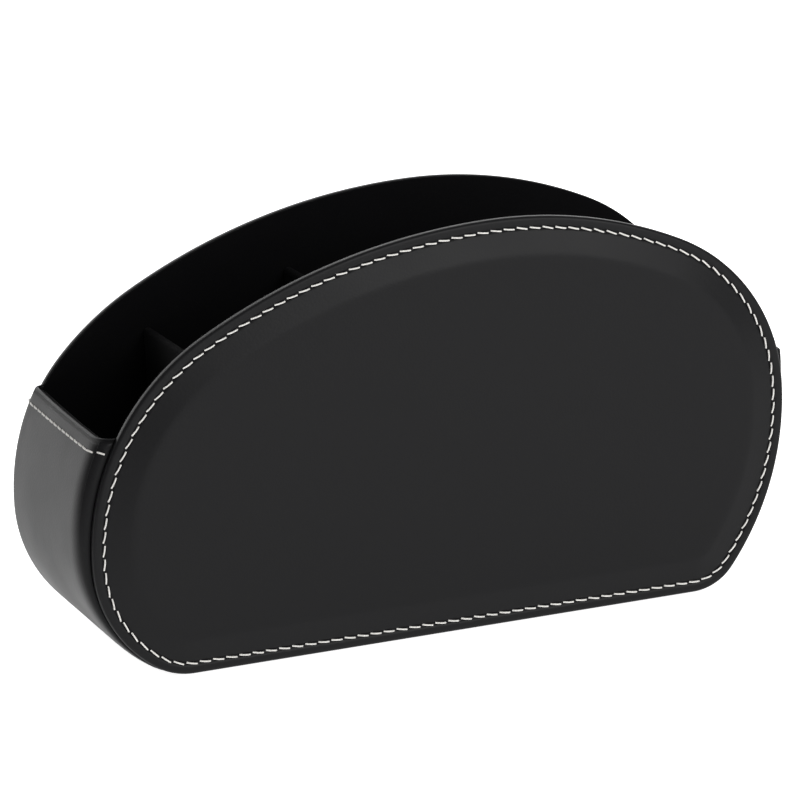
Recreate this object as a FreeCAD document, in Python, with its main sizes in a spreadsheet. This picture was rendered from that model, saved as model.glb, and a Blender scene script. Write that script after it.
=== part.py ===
import FreeCAD, Part
import math
import os

# Remote control holder: two padded half-moon panels joined by a leather gusset, open at the top,
# lined with velvet and split by upright dividers. Millimetres, +Z up, X along the panels, front at -Y.

DRIVING = [
    ("width", 240.4, "side to side, over the panels"),
    ("height", 135.3, "floor to the peak of the panels"),
    ("depth", 87, "between the flat sewn rims of the two panels"),
    ("peak_offset", 22.9, "the panels' peak, right of the middle"),
    ("right_widest_height", 67.4, "height at which the panels' right side is widest"),
    ("right_crown_sag", 8.9, "rise from the top of the right shoulder's circle to the peak"),
    ("right_flank_excess", 28, "right flank radius, past its widest point's height over the base"),
    ("right_corner_radius", 18.3, "right bottom corner"),
    ("left_widest_height", 39.6, "height at which the panels' left side is widest"),
    ("left_crown_sag", 16, "rise from the top of the left shoulder's circle to the peak"),
    ("left_flank_excess", 3.9, "left flank radius, past its widest point's height over the base"),
    ("left_corner_radius", 22.1, "left bottom corner"),
    ("base_proud", 0.6, "how far the gusset's base stands below the panels"),
    ("right_proud", 2, "how far the gusset stands out past the panels on the right"),
    ("left_proud", 4, "how far the gusset stands out past the panels on the left"),
    ("right_lift", 8, "height of the gusset's widest point over the panels', on the right"),
    ("left_lift", 4, "height of the gusset's widest point over the panels', on the left"),
    ("right_hem_height", 78.5, "top of the gusset on the right"),
    ("left_hem_height", 83, "top of the gusset on the left"),
    ("hem_fold", 4, "empty fold of the hem, above the side board"),
    ("leather", 1.2, "leather thickness"),
    ("board", 2, "greyboard thickness in the panels"),
    ("side_board", 2.8, "greyboard thickness in the gusset"),
    ("lining", 1, "velvet thickness"),
    ("lining_setback", 0.2, "panel lining's edge behind the panel's edge"),
    ("edge_round_share", 0.65, "rounding of leather edges, of the leather's thickness"),
    ("fit_gap", 0.1, "room between pieces that are glued or tucked together"),
    ("crown_height", 2.5, "rise of the padded face over its rim"),
    ("crown_run_share", 0.8, "run of the padded face's slope, of the room inside the tightest corner"),
    ("rim_width", 3.7, "panel edge to the stitch line"),
    ("seam_gap", 0.4, "thread to the foot of the padded face"),
    ("thread", 0.9, "thread diameter"),
    ("stitch_pitch", 4.5, "stitch to stitch"),
    ("stitch_gap", 1.2, "bare leather between two stitches"),
    ("stitch_slant_share", 0.16, "sideways lean of a stitch, of its length"),
    ("hem_margin", 5, "hem edge to its stitch line"),
    ("hem_end_margin", 1, "gusset edge to the first and last hem stitch"),
    ("left_end_room", 47.2, "left end of the panels to the first divider"),
    ("right_end_room", 42, "last divider to the right end of the panels"),
    ("divider_drop", 19.3, "panel's top edge to the top of a middle divider"),
    ("end_divider_drop", 15.3, "panel's top edge to the top of the first and last divider"),
    ("divider_board", 1.5, "board inside a divider"),
    ("divider_cover", 0.8, "velvet over a divider's board"),
    ("divider_gap", 0.2, "divider to the linings round it"),
]
CROWN_RUN_SHARES = (0, 0.35, 0.7, 0.85, 1)
CROWN_RISE_SHARES = (0, 0.42, 0.84, 0.95, 1)
QUARTER_TURN = math.pi / 2
HALF_TURN_DEGREES = 180
DIVIDER_COUNT = 4
SIDES = {"right": 1, "left": -1}
PANELS = {"front": -1, "back": 1}

doc = FreeCAD.newDocument("remote_control_holder")
sheet = doc.addObject("Spreadsheet::Sheet", "sizes")
for row, (name, value, meaning) in enumerate(DRIVING, start=1):
    sheet.set(f"A{row}", meaning)
    sheet.set(f"B{row}", str(value))
    sheet.setAlias(f"B{row}", name)
doc.recompute()
size = {name: float(sheet.get(name)) for name, value, meaning in DRIVING}


# An outline's two halves, each measured outwards from the upright line through the peak.
def half_outline(side, proud, lift, base):
    """Centre, radius, start and end angle of each arc, from the peak down to the base."""
    widest = size[side + "_widest_height"] + lift
    half_width = size["width"] / 2 - SIDES[side] * size["peak_offset"] + proud
    rise = size["height"] - widest
    shoulder_radius = rise - size[side + "_crown_sag"]
    shoulder_x = half_width - shoulder_radius
    crown_radius = (shoulder_x**2 + rise**2 - shoulder_radius**2) / (2 * (rise - shoulder_radius))
    crown_z = size["height"] - crown_radius
    crown_end = math.atan2(widest - crown_z, shoulder_x)
    flank_radius = widest - base + size[side + "_flank_excess"]
    flank_x = half_width - flank_radius
    corner_radius = size[side + "_corner_radius"]
    corner_z = base + corner_radius
    corner_drop = widest - corner_z
    corner_x = flank_x + math.sqrt((flank_radius - corner_radius) ** 2 - corner_drop**2)
    flank_end = math.atan2(-corner_drop, corner_x - flank_x)
    return [
        ((0, crown_z), crown_radius, QUARTER_TURN, crown_end),
        ((shoulder_x, widest), shoulder_radius, crown_end, 0),
        ((flank_x, widest), flank_radius, 0, flank_end),
        ((corner_x, corner_z), corner_radius, flank_end, -QUARTER_TURN),
    ]


PANEL_HALVES = {side: half_outline(side, 0, 0, size["base_proud"]) for side in SIDES}
GUSSET_HALVES = {side: half_outline(side, size[side + "_proud"], size[side + "_lift"], 0) for side in SIDES}

# The layers, as insets from the gusset's outside or from the panel's edge.
board_inset = size["leather"] + size["fit_gap"]
lip_inset = board_inset + size["side_board"]
lining_inset = lip_inset + size["fit_gap"]
inside_inset = lining_inset + size["lining"]
stitch_length = size["stitch_pitch"] - size["stitch_gap"]
crown_inset = size["rim_width"] + size["thread"] / 2 + size["seam_gap"]
corner_room = min(size[side + "_corner_radius"] for side in SIDES) - crown_inset - board_inset
crown_run = size["crown_run_share"] * corner_room
divider_span = size["width"] - size["left_end_room"] - size["right_end_room"]
divider_pitch = divider_span / (DIVIDER_COUNT - 1)
first_divider = size["left_end_room"] - size["width"] / 2
rim_plane = size["depth"] / 2
edge_round = size["edge_round_share"] * size["leather"]
inner_span = size["depth"] - 2 * (size["leather"] + size["board"] + size["lining"] + size["fit_gap"])
INNER_SPAN = "sizes.depth - 2 * (sizes.leather + sizes.board + sizes.lining + sizes.fit_gap)"


def on_arc(centre, radius, angle):
    return (centre[0] + radius * math.cos(angle), centre[1] + radius * math.sin(angle))


def turned_back(edges):
    return [list(reversed(edge)) for edge in reversed(edges)]


def side_edges(halves, side, inset, top):
    """Edges of one half of an outline, from the height top down to the base."""
    edges = []
    for centre, full_radius, start, end in halves[side]:
        radius = full_radius - inset
        if on_arc(centre, radius, end)[1] >= top:
            continue
        if on_arc(centre, radius, start)[1] > top:
            start = math.asin((top - centre[1]) / radius)
        points = [on_arc(centre, radius, angle) for angle in (start, (start + end) / 2, end)]
        edges.append([(size["peak_offset"] + SIDES[side] * x, z) for x, z in points])
    return edges


def joined(*parts):
    """One closed run of edges, with straight edges wherever two parts don't meet."""
    edges = []
    for part in parts:
        if edges and edges[-1][-1] != part[0][0]:
            edges.append([edges[-1][-1], part[0][0]])
        edges.extend(part)
    edges.append([edges[-1][-1], edges[0][0]])
    return edges


def gusset_side(side, inset, drop):
    """Edges of one side of the gusset, from that far below its hem down to the base."""
    return side_edges(GUSSET_HALVES, side, inset, size[side + "_hem_height"] - drop)


def outline(inset):
    right = side_edges(PANEL_HALVES, "right", inset, size["height"])
    left = turned_back(side_edges(PANEL_HALVES, "left", inset, size["height"]))
    base = [[right[-1][-1], left[0][0]]]
    return right + base + left


def base_end(side):
    return size["peak_offset"] + SIDES[side] * GUSSET_HALVES[side][-1][0][0]


def box_edges(left, right, low, high):
    corners = [(left, low), (right, low), (right, high), (left, high)]
    return [[corners[i - 1], corners[i]] for i in range(len(corners))]


def edge_curve(edge, place):
    points = [place(x, z) for x, z in edge]
    return Part.LineSegment(*points) if len(points) == 2 else Part.Arc(*points)


def wire_at(edges, y):
    curves = [edge_curve(edge, lambda x, z: FreeCAD.Vector(x, y, z)) for edge in edges]
    return Part.Wire([curve.toShape() for curve in curves])


def outward(x):
    """The side of the peak that x lies on, and its distance from the peak."""
    side = "right" if x >= size["peak_offset"] else "left"
    return side, abs(x - size["peak_offset"])


def panel_top(x):
    """Height of the panels' upper edge at x."""
    side, away = outward(x)
    for centre, radius, start, end in PANEL_HALVES[side]:
        if on_arc(centre, radius, end)[0] >= away:
            return centre[1] + math.sqrt(radius**2 - (away - centre[0]) ** 2)
    raise ValueError("no panel above x = %g" % x)


def floor_height(x, inset):
    """Height of the gusset's floor at x, that far in from its outside."""
    side, away = outward(x)
    for centre, full_radius, start, end in reversed(GUSSET_HALVES[side]):
        radius = full_radius - inset
        if away <= centre[0]:
            return inset
        if away <= on_arc(centre, radius, start)[0]:
            return centre[1] - math.sqrt(radius**2 - (away - centre[0]) ** 2)
    raise ValueError("no floor below x = %g" % x)


# Pieces padded from one profile across the depth of the holder.
def profile_sketch(body, name, edges):
    sketch = body.newObject("Sketcher::SketchObject", name)
    plane = [part for part in body.Origin.OriginFeatures if part.Role == "XZ_Plane"][0]
    sketch.AttachmentSupport = (plane, [""])
    sketch.MapMode = "FlatFace"
    for edge in edges:
        sketch.addGeometry(edge_curve(edge, lambda x, z: FreeCAD.Vector(x, z, 0)))
    return sketch


def padded_body(name, edges, length, start=None):
    body = doc.addObject("PartDesign::Body", name)
    body.Label = name
    sketch = profile_sketch(body, name + "_profile", edges)
    pad = body.newObject("PartDesign::Pad", name + "_pad")
    pad.Profile = sketch
    pad.setExpression("Length", length)
    if start is None:
        pad.SideType = "Symmetric"
    else:
        sketch.setExpression("AttachmentOffset.Base.z", start)
    pieces.append(body)
    return body


def shaped_piece(name, shape):
    piece = doc.addObject("Part::Feature", name)
    piece.Label = name
    piece.Shape = shape
    pieces.append(piece)


# Padded panels: a leather cover turned over the edge of its board, with foam between them.
def crowned_pad(facing, inset, sunk):
    sections = []
    for run_share, rise_share in zip(CROWN_RUN_SHARES, CROWN_RISE_SHARES):
        section_inset = crown_inset + inset + run_share * crown_run
        section_y = facing * (rim_plane - sunk + rise_share * size["crown_height"])
        sections.append(wire_at(outline(section_inset), section_y))
    return Part.makeLoft(sections, True, True)


def plate(facing, inset, sunk, thickness):
    face = Part.Face(wire_at(outline(inset), facing * (rim_plane - sunk)))
    return face.extrude(FreeCAD.Vector(0, -facing * thickness, 0))


def cover_shape(facing):
    rim_depth = size["leather"] + size["board"]
    rim = plate(facing, 0, 0, rim_depth)
    outer_edges = [edge for edge in rim.Edges
                   if all(abs(vertex.Y - facing * rim_plane) < size["fit_gap"] for vertex in edge.Vertexes)]
    rim = rim.makeFillet(edge_round, outer_edges)
    board_room = plate(facing, size["leather"], size["leather"], rim_depth)
    foam_room = crowned_pad(facing, size["leather"], size["leather"])
    return rim.fuse(crowned_pad(facing, 0, 0)).cut(board_room).cut(foam_room).removeSplitter()


def stitch(middle, along, outwards):
    """Half a thread, flat side down, lying on a surface a little askew to its seam."""
    radius = size["thread"] / 2
    start = FreeCAD.Vector(0, 0, -stitch_length / 2)
    thread = Part.makeCylinder(radius, stitch_length, start, FreeCAD.Vector(0, 0, 1), HALF_TURN_DEGREES)
    aim = (along - outwards.cross(along) * size["stitch_slant_share"]).normalize()
    turn = FreeCAD.Rotation(outwards.cross(aim), outwards, aim, "ZYX")
    thread.Placement = FreeCAD.Placement(middle, turn)
    return thread


def panel_stitching(facing):
    seam = wire_at(outline(size["rim_width"]), facing * rim_plane)
    count = round(seam.Length / size["stitch_pitch"])
    points = seam.discretize(count + 1)[:-1]
    stitches = []
    for i in range(count):
        along = (points[(i + 1) % count] - points[i - 1]).normalize()
        stitches.append(stitch(points[i], along, FreeCAD.Vector(0, facing, 0)))
    return Part.makeCompound(stitches)


def panel(name, facing):
    """One panel's pieces; a pad runs towards the front, so it starts at the back of its layer."""
    outer_face = "sizes.depth / 2 - sizes.leather"
    board_face = outer_face + " - sizes.board"
    board_start = board_face if facing < 0 else "-(%s)" % outer_face
    lining_start = board_face + " - sizes.lining" if facing < 0 else "-(%s)" % board_face
    shaped_piece(name + "_cover", cover_shape(facing))
    shaped_piece(name + "_foam", crowned_pad(facing, size["leather"] + size["fit_gap"], size["leather"]))
    padded_body(name + "_board", outline(board_inset), "sizes.board", board_start)
    padded_body(name + "_lining", outline(size["lining_setback"]), "sizes.lining", lining_start)
    shaped_piece(name + "_stitching", panel_stitching(facing))


# Gusset: a leather strip turned in over the edges of its boards, with velvet inside it.
def gusset_band(outer_inset, inner_inset, drop):
    """Profile of a band that runs down one side, along the base and up the other side."""
    outer = {side: gusset_side(side, outer_inset, drop) for side in SIDES}
    inner = {side: gusset_side(side, inner_inset, drop) for side in SIDES}
    return joined(outer["right"], turned_back(outer["left"]), inner["left"], turned_back(inner["right"]))


def gusset():
    body = padded_body("gusset_leather", gusset_band(0, lip_inset, 0), INNER_SPAN)
    room_edges = gusset_band(size["leather"], lining_inset, size["leather"])
    pocket = body.newObject("PartDesign::Pocket", "gusset_leather_pocket")
    pocket.Profile = profile_sketch(body, "gusset_leather_room", room_edges)
    pocket.SideType = "Symmetric"
    pocket.setExpression("Length", INNER_SPAN + " - 2 * sizes.leather")
    doc.recompute()
    outside = [wire_at(gusset_side(side, 0, 0), 0) for side in SIDES]
    outside.append(wire_at([[(base_end("left"), 0), (base_end("right"), 0)]], 0))
    names = []
    for number, edge in enumerate(body.Shape.Edges, start=1):
        middle = edge.valueAt((edge.FirstParameter + edge.LastParameter) / 2)
        across = abs(abs(middle.y) - inner_span / 2) < size["fit_gap"]
        flat = Part.Vertex(FreeCAD.Vector(middle.x, 0, middle.z))
        if across and min(wire.distToShape(flat)[0] for wire in outside) < size["fit_gap"]:
            names.append("Edge%d" % number)
    fillet = body.newObject("PartDesign::Fillet", "gusset_leather_edges")
    fillet.Base = (pocket, names)
    fillet.setExpression("Radius", "sizes.edge_round_share * sizes.leather")


def gusset_layer(kind, base_name, outer_inset, inner_inset, drop, span):
    for side in SIDES:
        outer = gusset_side(side, outer_inset, drop)
        inner = turned_back(gusset_side(side, inner_inset, drop))
        padded_body("%s_side_%s" % (side, kind), joined(outer, inner), span)
    left_end = base_end("left") + size["fit_gap"]
    right_end = base_end("right") - size["fit_gap"]
    padded_body(base_name, box_edges(left_end, right_end, outer_inset, inner_inset), span)


def hem_stitching(side):
    points = [FreeCAD.Vector(x, 0, z) for x, z in gusset_side(side, 0, size["hem_margin"])[0]]
    outwards = (points[0] - Part.Circle(*points).Center).normalize()
    stretch = inner_span - 2 * size["hem_end_margin"] - stitch_length
    count = max(1, round(stretch / size["stitch_pitch"])) + 1
    stitches = []
    for i in range(count):
        along = FreeCAD.Vector(0, 1, 0)
        middle = points[0] + along * (stretch * (i / (count - 1) - 1 / 2))
        stitches.append(stitch(middle, along, outwards))
    shaped_piece(side + "_hem_stitching", Part.makeCompound(stitches))


# Dividers: a board with velvet folded over its top, standing on the floor lining.
def divider(number, x, drop):
    half_board = size["divider_board"] / 2
    half_cover = half_board + size["divider_cover"]
    faces = (x - half_cover, x + half_cover)
    low = max(floor_height(face, inside_inset) for face in faces) + size["divider_gap"]
    top = panel_top(x) - drop
    board_top = top - size["divider_cover"]
    span = INNER_SPAN + " - 2 * sizes.divider_gap"
    fold = [(x - half_board, low), (faces[0], low), (faces[0], top), (faces[1], top),
            (faces[1], low), (x + half_board, low), (x + half_board, board_top), (x - half_board, board_top)]
    fold_edges = [[fold[i - 1], fold[i]] for i in range(len(fold))]
    padded_body("divider_cover_%d" % number, fold_edges, span)
    padded_body("divider_board_%d" % number, box_edges(x - half_board, x + half_board, low, board_top), span)


pieces = []
for name, facing in PANELS.items():
    panel(name, facing)
gusset()
board_span = INNER_SPAN + " - 2 * (sizes.leather + sizes.fit_gap)"
gusset_layer("board", "base_board", board_inset, lip_inset, board_inset + size["hem_fold"], board_span)
gusset_layer("lining", "floor_lining", lining_inset, inside_inset, board_inset, INNER_SPAN)
for side in SIDES:
    hem_stitching(side)
for index in range(DIVIDER_COUNT):
    at_end = index in (0, DIVIDER_COUNT - 1)
    drop = size["end_divider_drop" if at_end else "divider_drop"]
    divider(index + 1, first_divider + index * divider_pitch, drop)

doc.recompute()
for item in doc.Objects:
    if "Invalid" in item.State or "Error" in item.State:
        raise RuntimeError("%s failed: %s" % (item.Label, item.State))
for piece in pieces:
    if piece.Shape.isNull() or not piece.Shape.isValid():
        raise RuntimeError(piece.Label + " has no valid shape")

os.makedirs("parts", exist_ok=True)
for piece in pieces:
    piece.Shape.exportStep("parts/%s.step" % piece.Label)
    print(piece.Label, len(piece.Shape.Solids), "solids, %.0f mm3" % piece.Shape.Volume)
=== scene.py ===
import bpy
import math
from mathutils import Matrix, Vector


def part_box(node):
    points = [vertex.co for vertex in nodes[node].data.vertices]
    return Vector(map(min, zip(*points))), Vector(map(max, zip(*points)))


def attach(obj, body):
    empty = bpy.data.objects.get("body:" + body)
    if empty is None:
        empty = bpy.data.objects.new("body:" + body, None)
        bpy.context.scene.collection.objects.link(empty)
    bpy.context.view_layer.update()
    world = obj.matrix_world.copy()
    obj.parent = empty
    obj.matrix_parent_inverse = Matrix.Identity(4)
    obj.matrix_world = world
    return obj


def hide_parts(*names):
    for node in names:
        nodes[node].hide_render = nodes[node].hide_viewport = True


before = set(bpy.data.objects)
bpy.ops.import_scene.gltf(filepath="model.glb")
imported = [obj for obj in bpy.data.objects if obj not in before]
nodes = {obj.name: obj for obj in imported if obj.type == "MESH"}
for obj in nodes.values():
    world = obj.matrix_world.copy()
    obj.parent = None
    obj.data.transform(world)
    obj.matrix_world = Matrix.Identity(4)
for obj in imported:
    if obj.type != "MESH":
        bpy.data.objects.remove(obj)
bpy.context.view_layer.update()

# Remote control holder in black leather. Sizes are in millimetres unless a note says otherwise.
mm = 0.001
print("frame loaded,", len(nodes), "nodes")


def toLinear(hexColour):
    channels = [int(hexColour[i:i + 2], 16) / 255 for i in (1, 3, 5)]
    return tuple(c / 12.92 if c <= 0.04045 else ((c + 0.055) / 1.055) ** 2.4 for c in channels) + (1.0,)


def perMetre(size):  # how many features of this size in mm fit in a metre
    return 1 / (size * mm)


def addNode(tree, kind, inputs=None, **settings):
    node = tree.nodes.new(kind)
    for name, value in settings.items():
        setattr(node, name, value)
    for key, value in (inputs or {}).items():
        if isinstance(value, bpy.types.NodeSocket):
            tree.links.new(value, node.inputs[key])
        else:
            node.inputs[key].default_value = value
    return node


def maths(tree, operation, *terms):
    return addNode(tree, "ShaderNodeMath", dict(enumerate(terms)), operation=operation).outputs[0]


def newMaterial(name, inputs):
    material = bpy.data.materials.new(name)
    material.use_nodes = True
    tree = material.node_tree
    tree.nodes.clear()
    shader = addNode(tree, "ShaderNodeBsdfPrincipled", inputs)
    addNode(tree, "ShaderNodeOutputMaterial", {"Surface": shader.outputs[0]})
    return material, tree, shader


def objectPlace(tree):
    return addNode(tree, "ShaderNodeTexCoord").outputs["Object"]


def addNoise(tree, place, size, detail):
    inputs = {"Vector": place, "Scale": perMetre(size), "Detail": detail}
    return addNode(tree, "ShaderNodeTexNoise", inputs).outputs[0]


def setTint(tree, shader, share, shade, colour):
    inputs = {"Factor": share, "A": toLinear(shade), "B": toLinear(colour)}
    tint = addNode(tree, "ShaderNodeMix", inputs, data_type="RGBA")
    tree.links.new(tint.outputs["Result"], shader.inputs["Base Color"])


def setRelief(tree, shader, height, depth, strength, invert=False):
    inputs = {"Height": height, "Distance": depth * mm, "Strength": strength}
    bump = addNode(tree, "ShaderNodeBump", inputs, invert=invert)
    tree.links.new(bump.outputs[0], shader.inputs["Normal"])


# Black PU leather, embossed and calendered: a satin skin with a fine pebble grain and faint duller patches.
leatherLook = {"colour": "#141415", "ior": 1.47, "shine": 0.115, "roughLow": 0.36, "roughHigh": 0.45,
               "grain": 0.85, "grainBlend": 0.6, "grainDepth": 0.035, "grainStrength": 0.6,
               "pores": 0.28, "poreDetail": 2.0, "poreShare": 0.35,
               "patch": 45.0, "patchDetail": 3.0, "patchLow": 0.3, "patchHigh": 0.7}


def leatherMaterial():
    look = leatherLook
    material, tree, shader = newMaterial("black_pu_leather_satin", {
        "Base Color": toLinear(look["colour"]), "IOR": look["ior"], "Specular IOR Level": look["shine"]})
    place = objectPlace(tree)
    pebbles = addNode(tree, "ShaderNodeTexVoronoi", {"Vector": place, "Scale": perMetre(look["grain"]),
                                                     "Smoothness": look["grainBlend"]}, feature="SMOOTH_F1")
    pores = addNoise(tree, place, look["pores"], look["poreDetail"])
    relief = maths(tree, "MULTIPLY_ADD", pores, look["poreShare"], pebbles.outputs["Distance"])
    setRelief(tree, shader, relief, look["grainDepth"], look["grainStrength"], invert=True)
    patches = addNoise(tree, place, look["patch"], look["patchDetail"])
    rough = addNode(tree, "ShaderNodeMapRange", {
        "Value": patches, "From Min": look["patchLow"], "From Max": look["patchHigh"],
        "To Min": look["roughLow"], "To Max": look["roughHigh"]})
    tree.links.new(rough.outputs[0], shader.inputs["Roughness"])
    return material


# Black polyester velvet, short cut pile: almost no light comes back except a thin sheen along the pile.
velvetLook = {"colour": "#040405", "shade": "#020203", "rough": 0.95, "shine": 0.1,
              "sheen": 0.02, "sheenRough": 0.35, "sheenTint": "#8a8a90",
              "pile": 0.35, "pileDepth": 0.12, "pileStrength": 0.5, "nap": 14.0, "detail": 2.0}


def velvetMaterial():
    look = velvetLook
    material, tree, shader = newMaterial("black_velvet_short_pile", {
        "Roughness": look["rough"], "Specular IOR Level": look["shine"], "Sheen Weight": look["sheen"],
        "Sheen Roughness": look["sheenRough"], "Sheen Tint": toLinear(look["sheenTint"])})
    place = objectPlace(tree)
    pile = addNoise(tree, place, look["pile"], look["detail"])
    nap = addNoise(tree, place, look["nap"], look["detail"])
    setTint(tree, shader, nap, look["shade"], look["colour"])
    setRelief(tree, shader, pile, look["pileDepth"], look["pileStrength"])
    return material


# Off-white polyester sewing thread, three plies twisted: slanting ridges with a soft silky shine, and painted
# shade in the grooves between the plies.
threadLook = {"colour": "#f4f2ee", "shade": "#d2cfca", "rough": 0.55, "plies": 7.0, "plyTurn": 35.0,
              "plyStretch": 0.45, "plyBend": 0.4, "plyDepth": 0.09, "plyStrength": 0.6}


def threadMaterial():
    look = threadLook
    material, tree, shader = newMaterial("off_white_polyester_thread_twisted", {"Roughness": look["rough"]})
    along = addNode(tree, "ShaderNodeUVMap", uv_map="UVMap").outputs[0]
    twist = addNode(tree, "ShaderNodeMapping", {
        "Vector": along, "Rotation": (0.0, 0.0, math.radians(look["plyTurn"])),
        "Scale": (1.0, look["plyStretch"], 1.0)})
    wave = addNode(tree, "ShaderNodeTexWave", {"Vector": twist.outputs[0], "Scale": look["plies"],
                                               "Distortion": look["plyBend"]}, bands_direction="X")
    plies = wave.outputs["Fac"]
    # painted shade: the colour is darker in the low grooves between the plies, following the relief
    setTint(tree, shader, plies, look["shade"], look["colour"])
    setRelief(tree, shader, plies, look["plyDepth"], look["plyStrength"])
    return material


# Grey pressed board, pulped paper: dull, with short fibres and darker flecks.
boardLook = {"colour": "#8d887f", "fleck": "#6a655d", "rough": 0.9, "fibre": 1.4, "fibreStretch": 0.35,
             "fibreDetail": 4.0, "fibreDepth": 0.06, "fibreStrength": 0.4}


def boardMaterial():
    look = boardLook
    material, tree, shader = newMaterial("greyboard_pressed_pulp", {"Roughness": look["rough"]})
    stretch = addNode(tree, "ShaderNodeMapping", {"Vector": objectPlace(tree),
                                                  "Scale": (look["fibreStretch"], 1.0, 1.0)})
    fibres = addNoise(tree, stretch.outputs[0], look["fibre"], look["fibreDetail"])
    setTint(tree, shader, fibres, look["fleck"], look["colour"])
    setRelief(tree, shader, fibres, look["fibreDepth"], look["fibreStrength"])
    return material


# Grey polyurethane foam, open cells cut through: matt, with painted shade in its small pits, where the colour
# is darker at each cell's sunk middle.
foamLook = {"colour": "#77777a", "pitShade": "#3c3c3f", "rough": 0.95,
            "cell": 0.7, "pitDepth": 0.2, "pitStrength": 0.6}


def foamMaterial():
    look = foamLook
    material, tree, shader = newMaterial("grey_pu_foam_open_cell", {"Roughness": look["rough"]})
    voronoi = addNode(tree, "ShaderNodeTexVoronoi", {"Vector": objectPlace(tree),
                                                     "Scale": perMetre(look["cell"])})
    cells = voronoi.outputs["Distance"]
    # painted shade: the colour is darker where the cells sink in, following the relief
    setTint(tree, shader, cells, look["pitShade"], look["colour"])
    setRelief(tree, shader, cells, look["pitDepth"], look["pitStrength"])
    return material


leather = leatherMaterial()
velvet = velvetMaterial()
thread = threadMaterial()
greyboard = boardMaterial()
foam = foamMaterial()
print("materials made")

# The half-moon outline: crown, shoulder, flank and corner on each side of the peak.
outlineSizes = {"width": 240.4, "height": 135.3, "peakOffset": 22.9, "baseProud": 0.6,
                "right": {"sign": 1, "widest": 67.4, "crownSag": 8.9, "flankExcess": 28.0, "corner": 18.3,
                          "proud": 2.0, "lift": 8.0, "hem": 78.5},
                "left": {"sign": -1, "widest": 39.6, "crownSag": 16.0, "flankExcess": 3.9, "corner": 22.1,
                         "proud": 4.0, "lift": 4.0, "hem": 83.0}}
layers = {"leather": 1.2, "sideBoard": 2.8, "lining": 1.0, "gap": 0.1, "rimPlane": 43.5, "halfSpan": 39.2,
          "seam": 3.7, "velvetRound": 0.3}
lipInset = layers["leather"] + layers["gap"] + layers["sideBoard"]
wallSpots = 40  # spots in each 100 mm of the gusset's wall


def halfArcs(side, proud, lift, base):  # centre, radius, start and end angle, from the peak down to the base
    half = outlineSizes[side]
    reach = outlineSizes["width"] / 2 - half["sign"] * outlineSizes["peakOffset"] + proud
    widest = half["widest"] + lift
    rise = outlineSizes["height"] - widest
    shoulder = rise - half["crownSag"]
    shoulderX = reach - shoulder
    crown = (shoulderX ** 2 + rise ** 2 - shoulder ** 2) / (2 * half["crownSag"])
    crownZ = outlineSizes["height"] - crown
    crownEnd = math.atan2(widest - crownZ, shoulderX)
    flank = widest - base + half["flankExcess"]
    flankX = reach - flank
    corner = half["corner"]
    cornerZ = base + corner
    cornerX = flankX + math.sqrt((flank - corner) ** 2 - (widest - cornerZ) ** 2)
    flankEnd = math.atan2(cornerZ - widest, cornerX - flankX)
    return [((0.0, crownZ), crown, math.pi / 2, crownEnd), ((shoulderX, widest), shoulder, crownEnd, 0.0),
            ((flankX, widest), flank, 0.0, flankEnd), ((cornerX, cornerZ), corner, flankEnd, -math.pi / 2)]


panelHalves, gussetHalves = {}, {}
for side in ("right", "left"):
    panelHalves[side] = halfArcs(side, 0.0, 0.0, outlineSizes["baseProud"])
    gussetHalves[side] = halfArcs(side, outlineSizes[side]["proud"], outlineSizes[side]["lift"], 0.0)


def arcSpot(side, centre, radius, angle):  # a point of the outline and its outward direction
    sign = outlineSizes[side]["sign"]
    across, up = math.cos(angle), math.sin(angle)
    x = outlineSizes["peakOffset"] + sign * (centre[0] + radius * across)
    return x, centre[1] + radius * up, sign * across, up


def outlineRuns(inset):  # length and spot function of each run of the panels' edge, clockwise from the peak
    runs = []
    for centre, radius, start, end in panelHalves["right"]:
        runs.append(((radius - inset) * (start - end),
                     lambda t, c=centre, r=radius, a=start, b=end: arcSpot("right", c, r, a + (b - a) * t)))
    rightEnd = outlineSizes["peakOffset"] + panelHalves["right"][-1][0][0]
    leftEnd = outlineSizes["peakOffset"] - panelHalves["left"][-1][0][0]
    base = outlineSizes["baseProud"]
    runs.append((rightEnd - leftEnd, lambda t: (rightEnd + (leftEnd - rightEnd) * t, base, 0.0, -1.0)))
    for centre, radius, start, end in reversed(panelHalves["left"]):
        runs.append(((radius - inset) * (start - end),
                     lambda t, c=centre, r=radius, a=end, b=start: arcSpot("left", c, r, a + (b - a) * t)))
    return runs


def evenSpots(count, inset):  # spots of the outline, evenly spaced along its line at that inset
    runs = outlineRuns(inset)
    total = sum(length for length, spot in runs)
    spots, index, passed = [], 0, 0.0
    for k in range(count):
        along = total * k / count
        while along > passed + runs[index][0] and index < len(runs) - 1:
            passed += runs[index][0]
            index += 1
        length, spot = runs[index]
        spots.append(spot((along - passed) / length))
    return spots


def sideSpots(side, top):  # spots from the height top on the gusset's outside down to the base
    spots = []
    for centre, radius, start, end in gussetHalves[side]:
        if centre[1] + radius * math.sin(end) >= top:
            continue
        if centre[1] + radius * math.sin(start) > top:
            start = math.asin((top - centre[1]) / radius)
        steps = max(2, round(wallSpots * radius * (start - end) / 100))
        spots += [arcSpot(side, centre, radius, start + (end - start) * k / steps) for k in range(steps)]
    centre, radius, start, end = gussetHalves[side][-1]
    return spots + [arcSpot(side, centre, radius, end)]


def wallSpot(side, height):  # the spot at that height on the gusset's outside
    return sideSpots(side, height)[0]


def insetBy(spot, inset):
    x, z, across, up = spot
    return x - inset * across, z - inset * up


def newPiece(name, points, faces, material):
    mesh = bpy.data.meshes.new(name)
    mesh.from_pydata([(x * mm, y * mm, z * mm) for x, y, z in points], [], faces)
    mesh.materials.append(material)
    mesh.polygons.foreach_set("use_smooth", [True] * len(mesh.polygons))
    mesh.update()
    piece = bpy.data.objects.new(name, mesh)
    bpy.context.scene.collection.objects.link(piece)
    return piece


def finishPiece(piece, slotName, *replaced):
    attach(piece, "root")
    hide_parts(*replaced)


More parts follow.
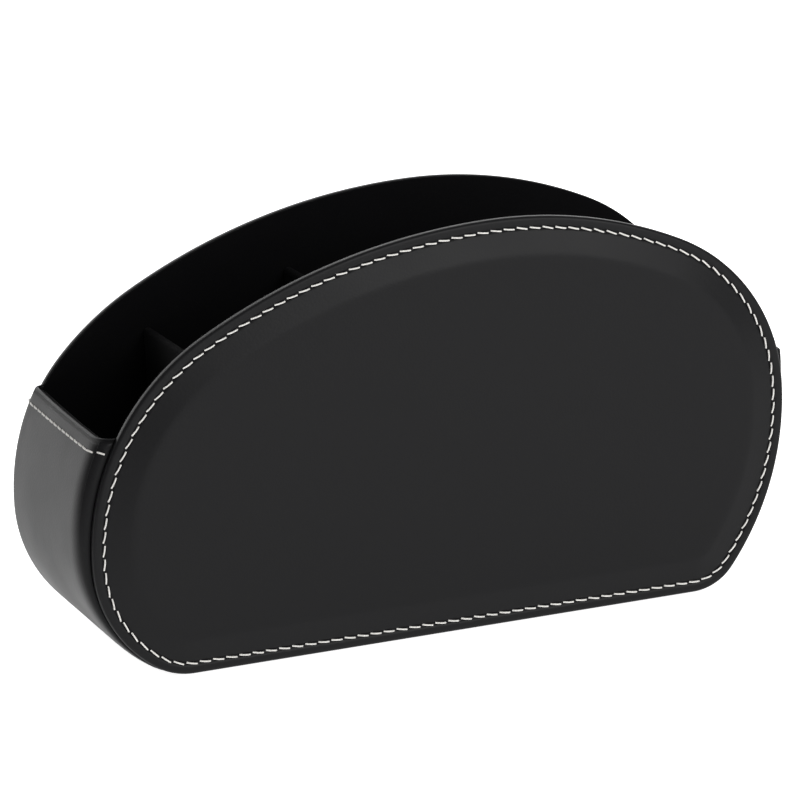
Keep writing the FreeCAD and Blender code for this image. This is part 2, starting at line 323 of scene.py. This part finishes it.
# Panels: shells wound round the outline, one ring for each step of the section.
panelSizes = {"stitches": 136, "stepsPerStitch": 6, "seamSink": 0.1, "spineLeft": (-52.0, 58.0),
              "spineRight": (68.0, 66.0), "flare": 2.8, "flareHeight": 80.0, "flareReach": 30.0}
panelFacings = {"front": -1, "back": 1}


def flared(spot):  # the back panel's left edge is drawn out beside the hem
    x, z, across, up = spot
    t = min(1.0, abs(z - panelSizes["flareHeight"]) / panelSizes["flareReach"])
    return x + panelSizes["flare"] * (1 - t * t) ** 2 * min(0.0, across), z, across, up


frontSpots = evenSpots(panelSizes["stitches"] * panelSizes["stepsPerStitch"], layers["seam"])
panelSpots = {-1: frontSpots, 1: [flared(spot) for spot in frontSpots]}  # by the way the panel faces


def towardsSpine(x, z, share):
    (x0, z0), (x1, z1) = panelSizes["spineLeft"], panelSizes["spineRight"]
    t = ((x - x0) * (x1 - x0) + (z - z0) * (z1 - z0)) / ((x1 - x0) ** 2 + (z1 - z0) ** 2)
    t = min(1.0, max(0.0, t))
    return x + (x0 + (x1 - x0) * t - x) * share, z + (z0 + (z1 - z0) * t - z) * share


def woundShell(name, facing, section, material, frontDome=(), backDome=()):
    # section runs from the outer face over the edge to the inner one: (inset, height over the rim, pucker)
    spots = panelSpots[facing]
    count = len(spots)
    rings = []
    first, last = section[0], section[-1]
    for share, height in reversed(frontDome):
        rings.append([(*towardsSpine(*insetBy(spot, first[0]), share), height) for spot in spots])
    for step in section:
        inset, height = step[:2]
        pucker = step[2] if len(step) > 2 else 0.0
        ring = []
        for i, spot in enumerate(spots):
            phase = 2 * math.pi * (i % panelSizes["stepsPerStitch"]) / panelSizes["stepsPerStitch"]
            ring.append((*insetBy(spot, inset), height - pucker * (0.5 - 0.5 * math.cos(phase))))
        rings.append(ring)
    for share, height in backDome:
        rings.append([(*towardsSpine(*insetBy(spot, last[0]), share), height) for spot in spots])
    points = [(x, facing * (layers["rimPlane"] + height), z) for ring in rings for x, z, height in ring]
    faces = [tuple(range(count)) if facing > 0 else tuple(reversed(range(count)))]
    for r in range(len(rings) - 1):
        a, b = r * count, (r + 1) * count
        for i in range(count):
            j = (i + 1) % count
            quad = (a + i, b + i, b + j, a + j)
            faces.append(quad if facing > 0 else quad[::-1])
    start = (len(rings) - 1) * count
    back = tuple(range(start, start + count))
    faces.append(back[::-1] if facing > 0 else back)
    return newPiece(name, points, faces, material)


# Steps are distances inwards from the seam. Groove steps also give the height over the rim and the pucker.
coverSizes = {"foot": 0.8, "slopeEnd": 7.6, "flat": 11.8, "slopeRise": 2.1, "rise": 2.5, "dome": 0.3,
              "seamDepth": 0.4, "seamBend": 0.5, "pucker": 0.25, "edgeRound": 1.2, "edgeTurns": 6,
              "backRound": 0.6, "backTurns": 4, "rimDepth": 3.2, "insideBevel": 0.2, "insideFoot": 1.0,
              "crownSteps": (11.8, 11.0, 10.3, 9.6, 9.0, 8.5, 8.0, 7.5, 6.9, 6.0, 5.0, 3.8, 2.8, 2.0, 1.4),
              "grooveInner": ((1.0, 0.10, 0.03), (0.7, -0.06, 0.08), (0.4, -0.26, 0.18)),
              "grooveBottom": (0.2, 0.0, -0.2),
              "grooveOuter": ((-0.45, -0.24, 0.18), (-0.75, -0.06, 0.08), (-1.1, 0.05, 0.03), (-1.5, 0.08),
                              (-1.9, 0.06)),
              "insideSteps": (2.8, 5.0, 6.9, 8.0, 9.0, 10.3, 11.8)}


def crownHeight(past):  # straight slope from past the seam, bent over into the flat of the pad
    c = coverSizes
    if past <= c["slopeEnd"]:
        return c["slopeRise"] * (past - c["foot"]) / (c["slopeEnd"] - c["foot"])
    t = min(1.0, (past - c["slopeEnd"]) / (c["flat"] - c["slopeEnd"]))
    return c["slopeRise"] + (c["rise"] - c["slopeRise"]) * (1 - (1 - t) ** 3)


def domeRings(height, dome, steps=6, reach=0.9):
    return [(reach * k / steps, height + dome * (1 - (1 - k / steps) ** 2)) for k in range(1, steps + 1)]


def quarterTurn(steps):
    return [math.radians(90 * k / steps) for k in range(steps + 1)]


def coverSection():
    c, seam, inner = coverSizes, layers["seam"], layers["leather"]
    section = [(seam + past, crownHeight(past)) for past in c["crownSteps"]]
    section += [(seam + past, *rest) for past, *rest in c["grooveInner"]]
    section += [(seam + past, -c["seamDepth"] + c["seamBend"] * past ** 2, c["pucker"])
                for past in c["grooveBottom"]]
    section += [(seam + past, *rest) for past, *rest in c["grooveOuter"]]
    r, b = c["edgeRound"], c["backRound"]
    section += [(r - r * math.sin(turn), -r + r * math.cos(turn)) for turn in quarterTurn(c["edgeTurns"])]
    section.append((0.0, -(r + c["rimDepth"] - b) / 2))
    section += [(b - b * math.cos(turn), -(c["rimDepth"] - b) - b * math.sin(turn))
                for turn in quarterTurn(c["backTurns"])]
    section += [(inner, -c["rimDepth"]), (inner, -inner - c["insideBevel"]),
                (inner + c["insideBevel"], -inner), (seam + c["foot"] + c["insideFoot"], -inner)]
    return section + [(seam + past, crownHeight(past) - inner) for past in c["insideSteps"]]


panelLining = {"edge": 0.2, "backBevel": (0.3, 0.25), "faceBevel": (0.4, 0.35), "faceBend": (0.12, 0.1),
               "near": 6.0, "deep": 15.0}


def liningSection():
    p, edge = panelLining, panelLining["edge"]
    back = -coverSizes["rimDepth"]
    face = back - layers["lining"]
    (backIn, backDown), (faceIn, faceUp), (bendIn, bendUp) = p["backBevel"], p["faceBevel"], p["faceBend"]
    return [(p["deep"], back), (edge + backIn, back), (edge, back - backDown), (edge, face + faceUp),
            (edge + bendIn, face + bendUp), (edge + faceIn, face), (p["near"], face), (p["deep"], face)]


foamSizes = {"room": 0.06, "foot": 2.6, "edge": (2.4, 0.02),
             "crownSteps": (11.8, 10.3, 9.0, 8.0, 6.9, 5.0, 3.4)}


def foamSection():
    seam, sunk = layers["seam"], layers["leather"] + foamSizes["room"]
    edgeIn, edgeUp = foamSizes["edge"]
    crown = [(seam + past, crownHeight(past) - sunk) for past in foamSizes["crownSteps"]]
    return crown + [(seam + edgeIn, edgeUp - sunk), (seam + foamSizes["foot"], -sunk),
                    (seam + coverSizes["flat"], -sunk)]


for panel, facing in panelFacings.items():
    flat = coverSizes["rise"]
    inside = flat - layers["leather"]
    cover = woundShell(panel + "_leather_cover", facing, coverSection(), leather,
                       domeRings(flat, coverSizes["dome"]), domeRings(inside, coverSizes["dome"]))
    finishPiece(cover, "leather", panel + "_cover")
    pad = woundShell(panel + "_foam_pad", facing, foamSection(), foam,
                     domeRings(inside - foamSizes["room"], coverSizes["dome"]),
                     domeRings(-layers["leather"] - foamSizes["room"], 0.0))
    finishPiece(pad, "foam", panel + "_foam")
    backFace = -coverSizes["rimDepth"]
    lining = woundShell(panel + "_velvet_lining", facing, liningSection(), velvet,
                        domeRings(backFace, 0.0), domeRings(backFace - layers["lining"], 0.0))
    finishPiece(lining, "velvet", panel + "_lining")
print("panels made")


# Strips across the holder: an outer and an inner line, carried from front to back.
# Rows are distances from the strip's end.
gussetSizes = {"stretch": 1.05, "stretchRun": 5.2, "frontRun": 9.2, "frontPower": 2.7, "backRun": 5.0,
               "backPower": 3.5, "stiffTuck": 0.8, "softGain": 1.4, "seamGap": 0.15, "lipRoom": 0.25,
               "lipDepth": 1.2, "lipStep": 0.05, "fold": 1.6, "foldRoom": 0.05, "foldTurns": 9, "sag": 0.4,
               "frontDrop": 1.8, "sagFade": 30.0, "rightSag": 0.2, "halfSteps": 8,
               "lipRows": (0.0, 0.005, 0.02, 0.05, 0.1, 0.2, 0.35, 0.55, 0.85),
               "endRows": (1.6, 2.1, 2.7, 3.4, 4.2, 5.1, 6.2, 7.5, 9.0)}
still = {"inward": (0.0, 0.0), "down": (0.0, -1.0), "frontTuck": 0.0, "backTuck": 0.0,
         "fold": 0.0, "sag": 0.0, "soft": 0.0}


def hemSag(y):  # the hem hangs a little lower between the panels, and slopes down to the front
    share = max(-1.0, min(1.0, y / layers["halfSpan"]))
    return gussetSizes["sag"] * math.cos(math.pi / 2 * share) + gussetSizes["frontDrop"] * (1 - share) / 2


def sagShare(side, z):
    fade = min(1.0, max(0.0, 1 - (outlineSizes[side]["hem"] - z) / gussetSizes["sagFade"]))
    return fade * fade * (gussetSizes["rightSag"] if side == "right" else 1.0)


def endStretch(y):  # soft leather is pulled right up to the panels
    share = max(0.0, 1 - (layers["halfSpan"] - abs(y)) / gussetSizes["stretchRun"])
    return math.copysign(gussetSizes["stretch"] * share, y)


def tuckProfile(y):  # share of the tuck, from 0 on the flat to 1 at the panel
    g = gussetSizes
    run, power = (g["frontRun"], g["frontPower"]) if y < 0 else (g["backRun"], g["backPower"])
    away = layers["halfSpan"] + g["stretch"] - abs(y + endStretch(y))
    t = min(1.0, max(0.0, 1 - away / run))
    return 1 - (1 - t ** power) ** (1 / power)


def moved(x, y, z, move, tuck):  # a point of a strip, tucked in near the panels and sagging between them
    depth = tuckProfile(y) * move["frontTuck" if y < 0 else "backTuck"] * tuck
    drop = hemSag(y) * move["sag"]
    (inX, inZ), (downX, downZ) = move["inward"], move["down"]
    return x + inX * depth + downX * drop, y + endStretch(y) * move["soft"], z + inZ * depth + downZ * drop


def downhill(side, spot):  # down along the gusset's wall
    return outlineSizes[side]["sign"] * spot[3], -abs(spot[2])


def stripPiece(name, outer, inner, rows, material, lips=None, moves=None):
    # rows are (y, share of the way from outer to inner line, share of the way from inner line to lip)
    n = len(outer)
    lips, moves = lips or [(spot, spot) for spot in inner], moves or [still] * n
    points = []
    for y, share, lipShare in rows:
        for (ox, oz), (ix, iz), move in zip(outer, inner, moves):
            points.append(moved(ox + (ix - ox) * share, y, oz + (iz - oz) * share, move, 1.0))
        for (ix, iz), pair, move in zip(inner, lips, moves):
            lx, lz = pair[0 if y < 0 else 1]
            points.append(moved(ix + (lx - ix) * lipShare, y, iz + (lz - iz) * lipShare, move, move["fold"]))
    faces = []
    wide = 2 * n
    for j in range(len(rows) - 1):
        a, b = j * wide, (j + 1) * wide
        for k in range(n - 1):
            faces.append((a + k, b + k, b + k + 1, a + k + 1))
            faces.append((a + n + k + 1, b + n + k + 1, b + n + k, a + n + k))
        faces.append((a, a + n, b + n, b))
        faces.append((a + n - 1, b + n - 1, b + wide - 1, a + wide - 1))
    last = (len(rows) - 1) * wide
    for k in range(n - 1):
        faces.append((k, k + 1, n + k + 1, n + k))
        faces.append((last + k + 1, last + k, last + n + k, last + n + k + 1))
    return newPiece(name, points, faces, material)


def velvetRows(halfWidth, thickness, middle=22, turns=5):  # straight across, with both ends rounded
    radius = layers["velvetRound"]
    end = [(halfWidth - radius + radius * math.sin(turn), radius / thickness * (1 - math.cos(turn)), 0.0)
           for turn in quarterTurn(turns)]
    flat = [(-halfWidth + radius + 2 * (halfWidth - radius) * k / middle, 0.0, 0.0) for k in range(1, middle)]
    return [(-y, share, lipShare) for y, share, lipShare in reversed(end)] + flat + end


def seamOffset(spot, facing):  # how far the gusset's outside stands off that panel's edge
    return min(math.hypot(spot[0] - x, spot[1] - z) for x, z, across, up in panelSpots[facing])


def gussetMove(side, spot, fold=0.0):  # soft on the left side, stiff along the base and on the right
    g = gussetSizes
    soft = min(1.0, g["softGain"] * max(0.0, -spot[2]))
    level = spot[3] > 0
    inward = (-outlineSizes[side]["sign"], 0.0) if level else (-spot[2], -spot[3])
    move = {"inward": inward, "down": downhill(side, spot), "fold": fold, "soft": soft,
            "sag": sagShare(side, spot[1])}
    for end, facing in (("frontTuck", -1), ("backTuck", 1)):
        flush = seamOffset(spot, facing) / (abs(spot[2]) if level else 1.0) - g["seamGap"]
        move[end] = g["stiffTuck"] * (1 - soft) + soft * max(0.0, flush)
    return move


def gussetRows():  # close together near the panels, where the leather turns in
    g, half = gussetSizes, layers["halfSpan"]
    near = [*g["lipRows"], g["lipDepth"]]
    past = [g["lipDepth"] + g["lipStep"], *g["endRows"]]
    ends = [(half - away, 0.0, 1.0) for away in near] + [(half - away, 0.0, 0.0) for away in past]
    count = g["halfSteps"]
    middle = [((half - past[-1]) * (k / count - 1), 0.0, 0.0) for k in range(1, 2 * count)]
    return [(-y, share, lip) for y, share, lip in ends] + middle + ends[::-1]


def hemBead(side):  # the leather's thin fold along the hem, from the inside outwards
    g, sign = gussetSizes, outlineSizes[side]["sign"]
    radius, count = g["fold"] / 2, g["foldTurns"]
    low = outlineSizes[side]["hem"] - radius
    spot = wallSpot(side, low)
    x, z = insetBy(spot, radius)
    turns = [math.pi * (1 - k / count) for k in range(count)]
    outer = [(x + sign * radius * math.cos(turn), z + radius * math.sin(turn)) for turn in turns]
    depths = [radius + (radius - g["foldRoom"]) * math.cos(math.pi * k / (2 * count)) for k in range(count)]
    inner = [(insetBy(spot, depth)[0], z) for depth in depths]
    return outer, inner, low, spot


def gussetColumns():  # outer line, inner line, both lips, and how each column moves
    columns = []
    for side in ("right", "left"):
        beadOuter, beadInner, low, top = hemBead(side)
        folded = gussetMove(side, top, 1.0)
        rows = [(o, i, (i, i), folded) for o, i in zip(beadOuter, beadInner)]
        for spot in sideSpots(side, low):
            move = gussetMove(side, spot)
            lips = []
            for end in ("frontTuck", "backTuck"):
                depth = lipInset + (move[end] + gussetSizes["lipRoom"] - lipInset) * move["soft"]
                lips.append((spot[0] + move["inward"][0] * depth, spot[1] + move["inward"][1] * depth))
            rows.append((insetBy(spot, 0.0), insetBy(spot, layers["leather"]), lips, move))
        columns += rows if side == "right" else rows[::-1]
    return [list(line) for line in zip(*columns)]


outer, inner, lips, moves = gussetColumns()
gusset = stripPiece("gusset_leather_strip", outer, inner, gussetRows(), leather, lips, moves)
finishPiece(gusset, "leather", "gusset_leather")

liningSizes = {"top": 0.25, "rollHeight": 4.9, "rollSteps": 6, "rollBack": 2.5, "rollRate": 2, "rollIn": 1.2,
               "rollPower": 3, "endRoom": 0.45, "floorSteps": 40}
liningOuter = lipInset + layers["gap"]
for side in ("right", "left"):  # the velvet's top edge is rolled over the empty fold of the hem
    s = liningSizes
    top = outlineSizes[side]["hem"] - s["top"]
    steps = [wallSpot(side, top - s["rollHeight"] * k / s["rollSteps"]) for k in range(s["rollSteps"])]
    wall = steps + sideSpots(side, top - s["rollHeight"])
    outer, inner = [], []
    for spot in wall:
        roll = max(0.0, 1 - (top - spot[1]) / s["rollHeight"])
        outer.append(insetBy(spot, liningOuter - s["rollBack"] * min(1.0, s["rollRate"] * roll)))
        inner.append(insetBy(spot, liningOuter + layers["lining"] - s["rollIn"] * roll ** s["rollPower"]))
    moves = [dict(still, down=downhill(side, spot), sag=sagShare(side, spot[1])) for spot in wall]
    if side == "left":
        outer, inner, moves = outer[::-1], inner[::-1], moves[::-1]
    rows = velvetRows(layers["halfSpan"] - s["endRoom"], layers["lining"])
    velvetSide = stripPiece(side + "_velvet_side_lining", outer, inner, rows, velvet, moves=moves)
    finishPiece(velvetSide, "velvet", side + "_side_lining")

low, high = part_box("floor_lining")
floorSteps = liningSizes["floorSteps"]
floorXs = [low.x / mm + (high.x - low.x) / mm * k / floorSteps for k in range(floorSteps + 1)][::-1]
velvetFloor = stripPiece("velvet_floor_lining", [(x, low.z / mm) for x in floorXs],
                         [(x, high.z / mm) for x in floorXs],
                         velvetRows(layers["halfSpan"], layers["lining"]), velvet)
finishPiece(velvetFloor, "velvet", "floor_lining")
print("gusset and linings made")

# Dividers: velvet folded over each board, rounded along the top fold.
dividerSizes = {"count": 4, "velvet": 0.8, "wallSteps": 24, "topTurns": 10}
for number in range(1, dividerSizes["count"] + 1):
    low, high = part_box("divider_cover_%d" % number)
    x0, x1, z0, z1 = low.x / mm, high.x / mm, low.z / mm, high.z / mm
    middle, radius = (x0 + x1) / 2, (x1 - x0) / 2
    pile, steps, turns = dividerSizes["velvet"], dividerSizes["wallSteps"], dividerSizes["topTurns"]
    foldTop = z1 - radius
    heights = [z0 + (foldTop - z0) * k / steps for k in range(steps)]
    outer = [(x1, z) for z in heights]
    inner = [(x1 - pile, z) for z in heights]
    for k in range(turns + 1):
        turn = math.pi * k / turns
        outer.append((middle + radius * math.cos(turn), foldTop + radius * math.sin(turn)))
        inner.append((middle + (radius - pile) * math.cos(turn), foldTop + (radius - pile) * math.sin(turn)))
    outer += [(x0, z) for z in reversed(heights)]
    inner += [(x0 + pile, z) for z in reversed(heights)]
    fold = stripPiece("divider_velvet_%d" % number, outer[::-1], inner[::-1],
                      velvetRows(high.y / mm, pile), velvet)
    finishPiece(fold, "velvet", "divider_cover_%d" % number)
print("dividers made")

# Boards inside panels, gusset and dividers keep their own shapes.
for name, node in nodes.items():
    if "board" in name:
        node.data.materials.clear()
        node.data.materials.append(greyboard)


# Topstitching: one arched thread for each stitch, set along the seam by a node tree.
stitchSizes = {"length": 3.6, "thickness": 0.57, "rise": 0.22, "sink": 0.2,
               "slant": 9.0, "wobble": 3.0, "seed": 4}
stitchShape = {"archSteps": 8, "ringSteps": 7, "taper": 0.72, "taperPower": 2.2, "threadTurns": 3.0}


def stitchTree():
    shape = stitchShape
    tree = bpy.data.node_groups.new("seam_stitches", "GeometryNodeTree")
    ids = {}
    for name, kind in (("Geometry", "Geometry"), ("Stitches", "Int"), ("Length", "Float"),
                       ("Thickness", "Float"), ("Rise", "Float"), ("Sink", "Float"), ("Slant", "Float"),
                       ("Wobble", "Float"), ("Outward", "Vector"), ("Seed", "Int")):
        socket = tree.interface.new_socket(name, in_out="INPUT", socket_type="NodeSocket" + kind)
        ids[name] = socket.identifier
    tree.interface.new_socket("Geometry", in_out="OUTPUT", socket_type="NodeSocketGeometry")
    given = addNode(tree, "NodeGroupInput").outputs
    halfLength = maths(tree, "MULTIPLY", given["Length"], 0.5)
    backLength = maths(tree, "MULTIPLY", given["Length"], -0.5)
    depth = maths(tree, "MULTIPLY", given["Sink"], -1.0)
    peak = maths(tree, "MULTIPLY_ADD", given["Rise"], 2.0, given["Sink"])
    start = addNode(tree, "ShaderNodeCombineXYZ", {"X": backLength, "Z": depth}).outputs[0]
    middle = addNode(tree, "ShaderNodeCombineXYZ", {"Z": peak}).outputs[0]
    end = addNode(tree, "ShaderNodeCombineXYZ", {"X": halfLength, "Z": depth}).outputs[0]
    arch = addNode(tree, "GeometryNodeCurveQuadraticBezier", {
        "Resolution": shape["archSteps"], "Start": start, "Middle": middle, "End": end})
    along = addNode(tree, "GeometryNodeSplineParameter").outputs["Factor"]
    far = maths(tree, "ABSOLUTE", maths(tree, "MULTIPLY_ADD", along, 2.0, -1.0))
    steep = maths(tree, "POWER", far, shape["taperPower"])
    swell = maths(tree, "MULTIPLY_ADD", steep, -shape["taper"], 1.0)
    tapered = addNode(tree, "GeometryNodeSetCurveRadius", {"Curve": arch.outputs[0], "Radius": swell})
    markAlong = addNode(tree, "GeometryNodeCaptureAttribute", {"Geometry": tapered.outputs[0]})
    markAlong.capture_items.new("FLOAT", "Along")
    tree.links.new(along, markAlong.inputs["Along"])
    radius = maths(tree, "MULTIPLY", given["Thickness"], 0.5)
    ring = addNode(tree, "GeometryNodeCurvePrimitiveCircle", {
        "Resolution": shape["ringSteps"], "Radius": radius})
    markRound = addNode(tree, "GeometryNodeCaptureAttribute", {"Geometry": ring.outputs[0]})
    markRound.capture_items.new("FLOAT", "Round")
    tree.links.new(along, markRound.inputs["Round"])
    tube = addNode(tree, "GeometryNodeCurveToMesh", {
        "Curve": markAlong.outputs["Geometry"], "Profile Curve": markRound.outputs["Geometry"],
        "Fill Caps": True})
    scaled = maths(tree, "MULTIPLY", markAlong.outputs["Along"], shape["threadTurns"])
    flat = addNode(tree, "ShaderNodeCombineXYZ", {"X": scaled, "Y": markRound.outputs["Round"]}).outputs[0]
    mapped = addNode(tree, "GeometryNodeStoreNamedAttribute", {
        "Geometry": tube.outputs[0], "Name": "UVMap", "Value": flat}, data_type="FLOAT2", domain="CORNER")
    line = addNode(tree, "GeometryNodeMeshToCurve", {"Mesh": given["Geometry"]})
    even = addNode(tree, "GeometryNodeResampleCurve", {"Curve": line.outputs[0], "Count": given["Stitches"]})
    tangent = addNode(tree, "GeometryNodeInputTangent").outputs[0]
    facing = addNode(tree, "FunctionNodeAxesToRotation", {
        "Primary Axis": tangent, "Secondary Axis": given["Outward"]}, primary_axis="X", secondary_axis="Z")
    lowest = maths(tree, "SUBTRACT", given["Slant"], given["Wobble"])
    highest = maths(tree, "ADD", given["Slant"], given["Wobble"])
    lean = addNode(tree, "FunctionNodeRandomValue", {2: lowest, 3: highest, "Seed": given["Seed"]},
                   data_type="FLOAT")
    clockwise = maths(tree, "MULTIPLY", lean.outputs[1], -1.0)
    turn = addNode(tree, "ShaderNodeCombineXYZ", {"Z": clockwise}).outputs[0]
    euler = addNode(tree, "FunctionNodeEulerToRotation", {0: turn})
    leaning = addNode(tree, "FunctionNodeRotateRotation", {0: facing.outputs[0], 1: euler.outputs[0]},
                      rotation_space="LOCAL")
    placed = addNode(tree, "GeometryNodeInstanceOnPoints", {
        "Points": even.outputs[0], "Instance": mapped.outputs[0], "Rotation": leaning.outputs[0]})
    real = addNode(tree, "GeometryNodeRealizeInstances", {"Geometry": placed.outputs[0]})
    smooth = addNode(tree, "GeometryNodeSetShadeSmooth", {"Geometry": real.outputs[0]})
    worn = addNode(tree, "GeometryNodeSetMaterial", {"Geometry": smooth.outputs[0], "Material": thread})
    addNode(tree, "NodeGroupOutput", {0: worn.outputs[0]})
    return tree, ids


stitches, stitchIds = stitchTree()


def sewSeam(name, line, closed, count, outward, s):
    edges = [(i, i + 1) for i in range(len(line) - 1)] + ([(len(line) - 1, 0)] if closed else [])
    mesh = bpy.data.meshes.new(name + "_path")
    mesh.from_pydata([(x * mm, y * mm, z * mm) for x, y, z in line], edges, [])
    path = bpy.data.objects.new(name + "_path", mesh)
    bpy.context.scene.collection.objects.link(path)
    sewing = path.modifiers.new("sewing", "NODES")
    sewing.node_group = stitches
    values = {"Stitches": count, "Length": s["length"] * mm, "Thickness": s["thickness"] * mm,
              "Rise": s["rise"] * mm, "Sink": s["sink"] * mm, "Slant": math.radians(s["slant"]),
              "Wobble": math.radians(s["wobble"]), "Outward": outward, "Seed": s["seed"]}
    for key, value in values.items():
        sewing[stitchIds[key]] = value
    bpy.context.view_layer.update()
    sewn = bpy.data.meshes.new_from_object(path.evaluated_get(bpy.context.evaluated_depsgraph_get()))
    path.modifiers.remove(sewing)
    bpy.data.objects.remove(path)
    sewn.name = name
    piece = bpy.data.objects.new(name, sewn)
    bpy.context.scene.collection.objects.link(piece)
    return piece


for panel, facing in panelFacings.items():
    depth = facing * (layers["rimPlane"] - panelSizes["seamSink"])
    seam = [(x, depth, z) for x, z in (insetBy(spot, layers["seam"]) for spot in panelSpots[facing])]
    outward = (0.0, float(facing), 0.0)
    sewn = sewSeam(panel + "_topstitching", seam, True, panelSizes["stitches"], outward, stitchSizes)
    finishPiece(sewn, "thread", panel + "_stitching")

hemStitch = {"margin": 5.0, "endMargin": 1.0, "softMargin": 0.6, "count": 17,
             "seamSink": 0.05, "halfSteps": 60}
hemThread = dict(stitchSizes, length=4.2, thickness=0.64, rise=0.24, sink=0.2, slant=3.0, wobble=1.5)
for side in ("right", "left"):
    spot = wallSpot(side, outlineSizes[side]["hem"] - hemStitch["margin"])
    move = gussetMove(side, spot)
    stiffMargin = hemStitch["endMargin"] + hemThread["length"] / 2
    reach = layers["halfSpan"] - stiffMargin + (stiffMargin - hemStitch["softMargin"]) * move["soft"]
    x, z = insetBy(spot, hemStitch["seamSink"])
    half = hemStitch["halfSteps"]
    line = [moved(x, reach * (k / half - 1), z, move, 1.0) for k in range(2 * half + 1)]
    outward = (spot[2], 0.0, spot[3])
    sewn = sewSeam(side + "_hem_topstitching", line, False, hemStitch["count"], outward, hemThread)
    finishPiece(sewn, "thread", side + "_hem_stitching")
print("stitching made")

# Floor: one sheet of white opal acrylic, lit from below, that bends up into a backdrop.
floorSizes = {"half": 2500.0, "front": -2600.0, "near": 600.0, "bend": 1400.0, "bendSteps": 12,
              "radius": 700.0, "top": 2600.0}
acrylicLook = {"colour": "#f2f2f2", "rough": 0.9, "glow": 0.95}
white = (1.0, 1.0, 1.0, 1.0)
f = floorSizes
sheet = [(f["front"], 0.0), (-f["near"], 0.0), (0.0, 0.0), (f["near"], 0.0), (f["bend"], 0.0)]
for turn in quarterTurn(f["bendSteps"])[1:]:
    sheet.append((f["bend"] + f["radius"] * math.sin(turn), f["radius"] * (1 - math.cos(turn))))
sheet.append((f["bend"] + f["radius"], f["top"]))
acrylic = newMaterial("white_opal_acrylic_matt", {
    "Base Color": toLinear(acrylicLook["colour"]), "Roughness": acrylicLook["rough"], "Emission Color": white,
    "Emission Strength": acrylicLook["glow"]})[0]
floorPoints = [(side * f["half"], y, z) for y, z in sheet for side in (-1, 1)]
floorFaces = [(2 * k, 2 * k + 1, 2 * k + 3, 2 * k + 2) for k in range(len(sheet) - 1)]
floor = newPiece("floor", floorPoints, floorFaces, acrylic)

# Lights: a soft box overhead, a lower one in front to the right, and a dim room all round.
lightSizes = {"top": {"place": (-200.0, 300.0, 1600.0), "size": 1600.0, "watts": 3.0},
              "front": {"place": (600.0, -1500.0, 900.0), "size": 1300.0, "watts": 28.0}}
lightAim = (0.0, 0.0, 60.0)
roomStrength = 0.2
for name, light in lightSizes.items():
    lamp = bpy.data.lights.new(name + "_soft_box", "AREA")
    lamp.size = light["size"] * mm
    lamp.energy = light["watts"]
    holder = bpy.data.objects.new(name + "_soft_box", lamp)
    bpy.context.scene.collection.objects.link(holder)
    place, aim = Vector(light["place"]) * mm, Vector(lightAim) * mm
    holder.location = place
    holder.rotation_euler = (aim - place).to_track_quat("-Z", "Y").to_euler()
world = bpy.data.worlds.new("pale_room")
bpy.context.scene.world = world
world.use_nodes = True
room = world.node_tree.nodes["Background"]
room.inputs["Color"].default_value = white
room.inputs["Strength"].default_value = roomStrength

# Camera: long lens, a little to the left and above, rolled slightly. Angles are in degrees. The focal length
# is in pixels, for a picture with that many pixels across.
cameraSizes = {"azimuth": -18.41, "elevation": 13.53, "roll": -3.98, "distance": 1675.4, "focal": 5189.7,
               "across": 800, "sensor": 36.0, "near": 50.0, "far": 30000.0, "target": (-13.9, -44.0, 80.8)}
c = cameraSizes
azimuth, elevation, roll = (math.radians(c[key]) for key in ("azimuth", "elevation", "roll"))
back = Vector((math.sin(azimuth) * math.cos(elevation), -math.cos(azimuth) * math.cos(elevation),
               math.sin(elevation)))
right = Vector((math.cos(azimuth), math.sin(azimuth), 0.0))
up = back.cross(right)
tiltRight = math.cos(roll) * right + math.sin(roll) * up
tiltUp = math.cos(roll) * up - math.sin(roll) * right
lens = bpy.data.cameras.new("camera")
lens.sensor_width = c["sensor"]
lens.lens = c["sensor"] * c["focal"] / c["across"]
lens.clip_start, lens.clip_end = c["near"] * mm, c["far"] * mm
camera = bpy.data.objects.new("camera", lens)
bpy.context.scene.collection.objects.link(camera)
eye = Vector(c["target"]) * mm + back * c["distance"] * mm
camera.matrix_world = Matrix(((tiltRight.x, tiltUp.x, back.x, eye.x), (tiltRight.y, tiltUp.y, back.y, eye.y),
                              (tiltRight.z, tiltUp.z, back.z, eye.z), (0.0, 0.0, 0.0, 1.0)))
bpy.context.scene.camera = camera
bpy.context.scene.view_settings.view_transform = "Standard"
print("stage, lights and camera set")
